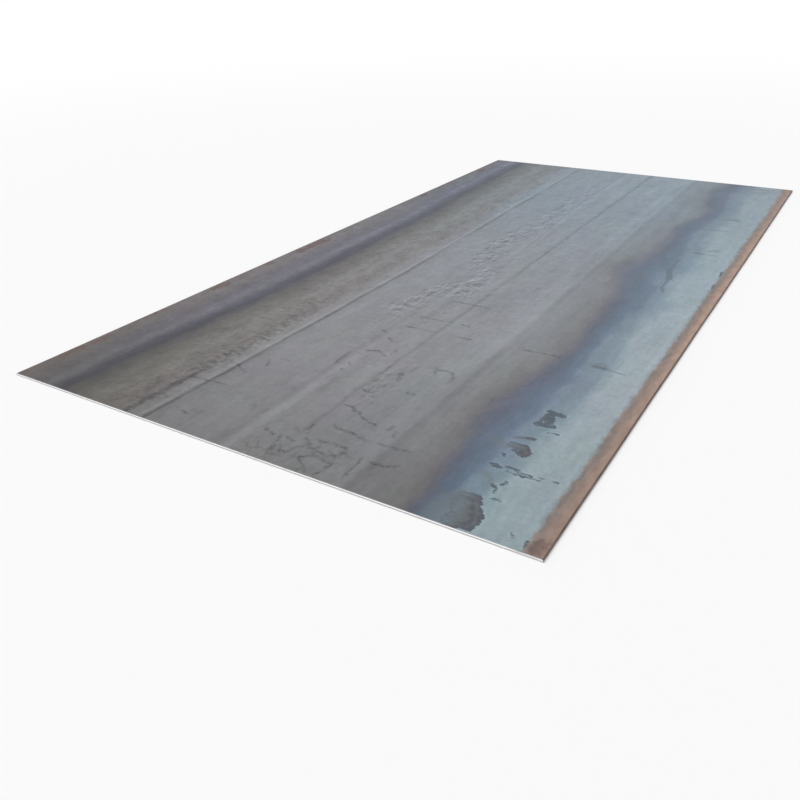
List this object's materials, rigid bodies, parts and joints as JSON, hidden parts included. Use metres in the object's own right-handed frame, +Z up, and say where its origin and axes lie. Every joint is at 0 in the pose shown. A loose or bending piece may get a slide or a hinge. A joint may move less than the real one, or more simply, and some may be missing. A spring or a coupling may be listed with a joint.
{
  "type": "steel plate",
  "caption": "Flat hot-rolled steel plate with rounded mill edges on its long sides, sheared ends and blue-grey mill scale with rust along the edges.",
  "frame": {"origin": "middle of the underside, on the surface that the plate lies on", "axes": "+Y along the rolling direction to the trailing sheared end, +X across the width to the rust-bordered mill edge, +Z up through the thickness"},
  "size_m": [1.5, 3, 0.006],
  "materials": {
    "mill_scale": "hot-rolled steel under satin blue-grey mill scale, with lengthwise oxide bands, rust-brown borders and bright sheared ends"
  },
  "bodies": {
    "root": {"steel_plate": "mill_scale"}
  },
  "joints": []
}
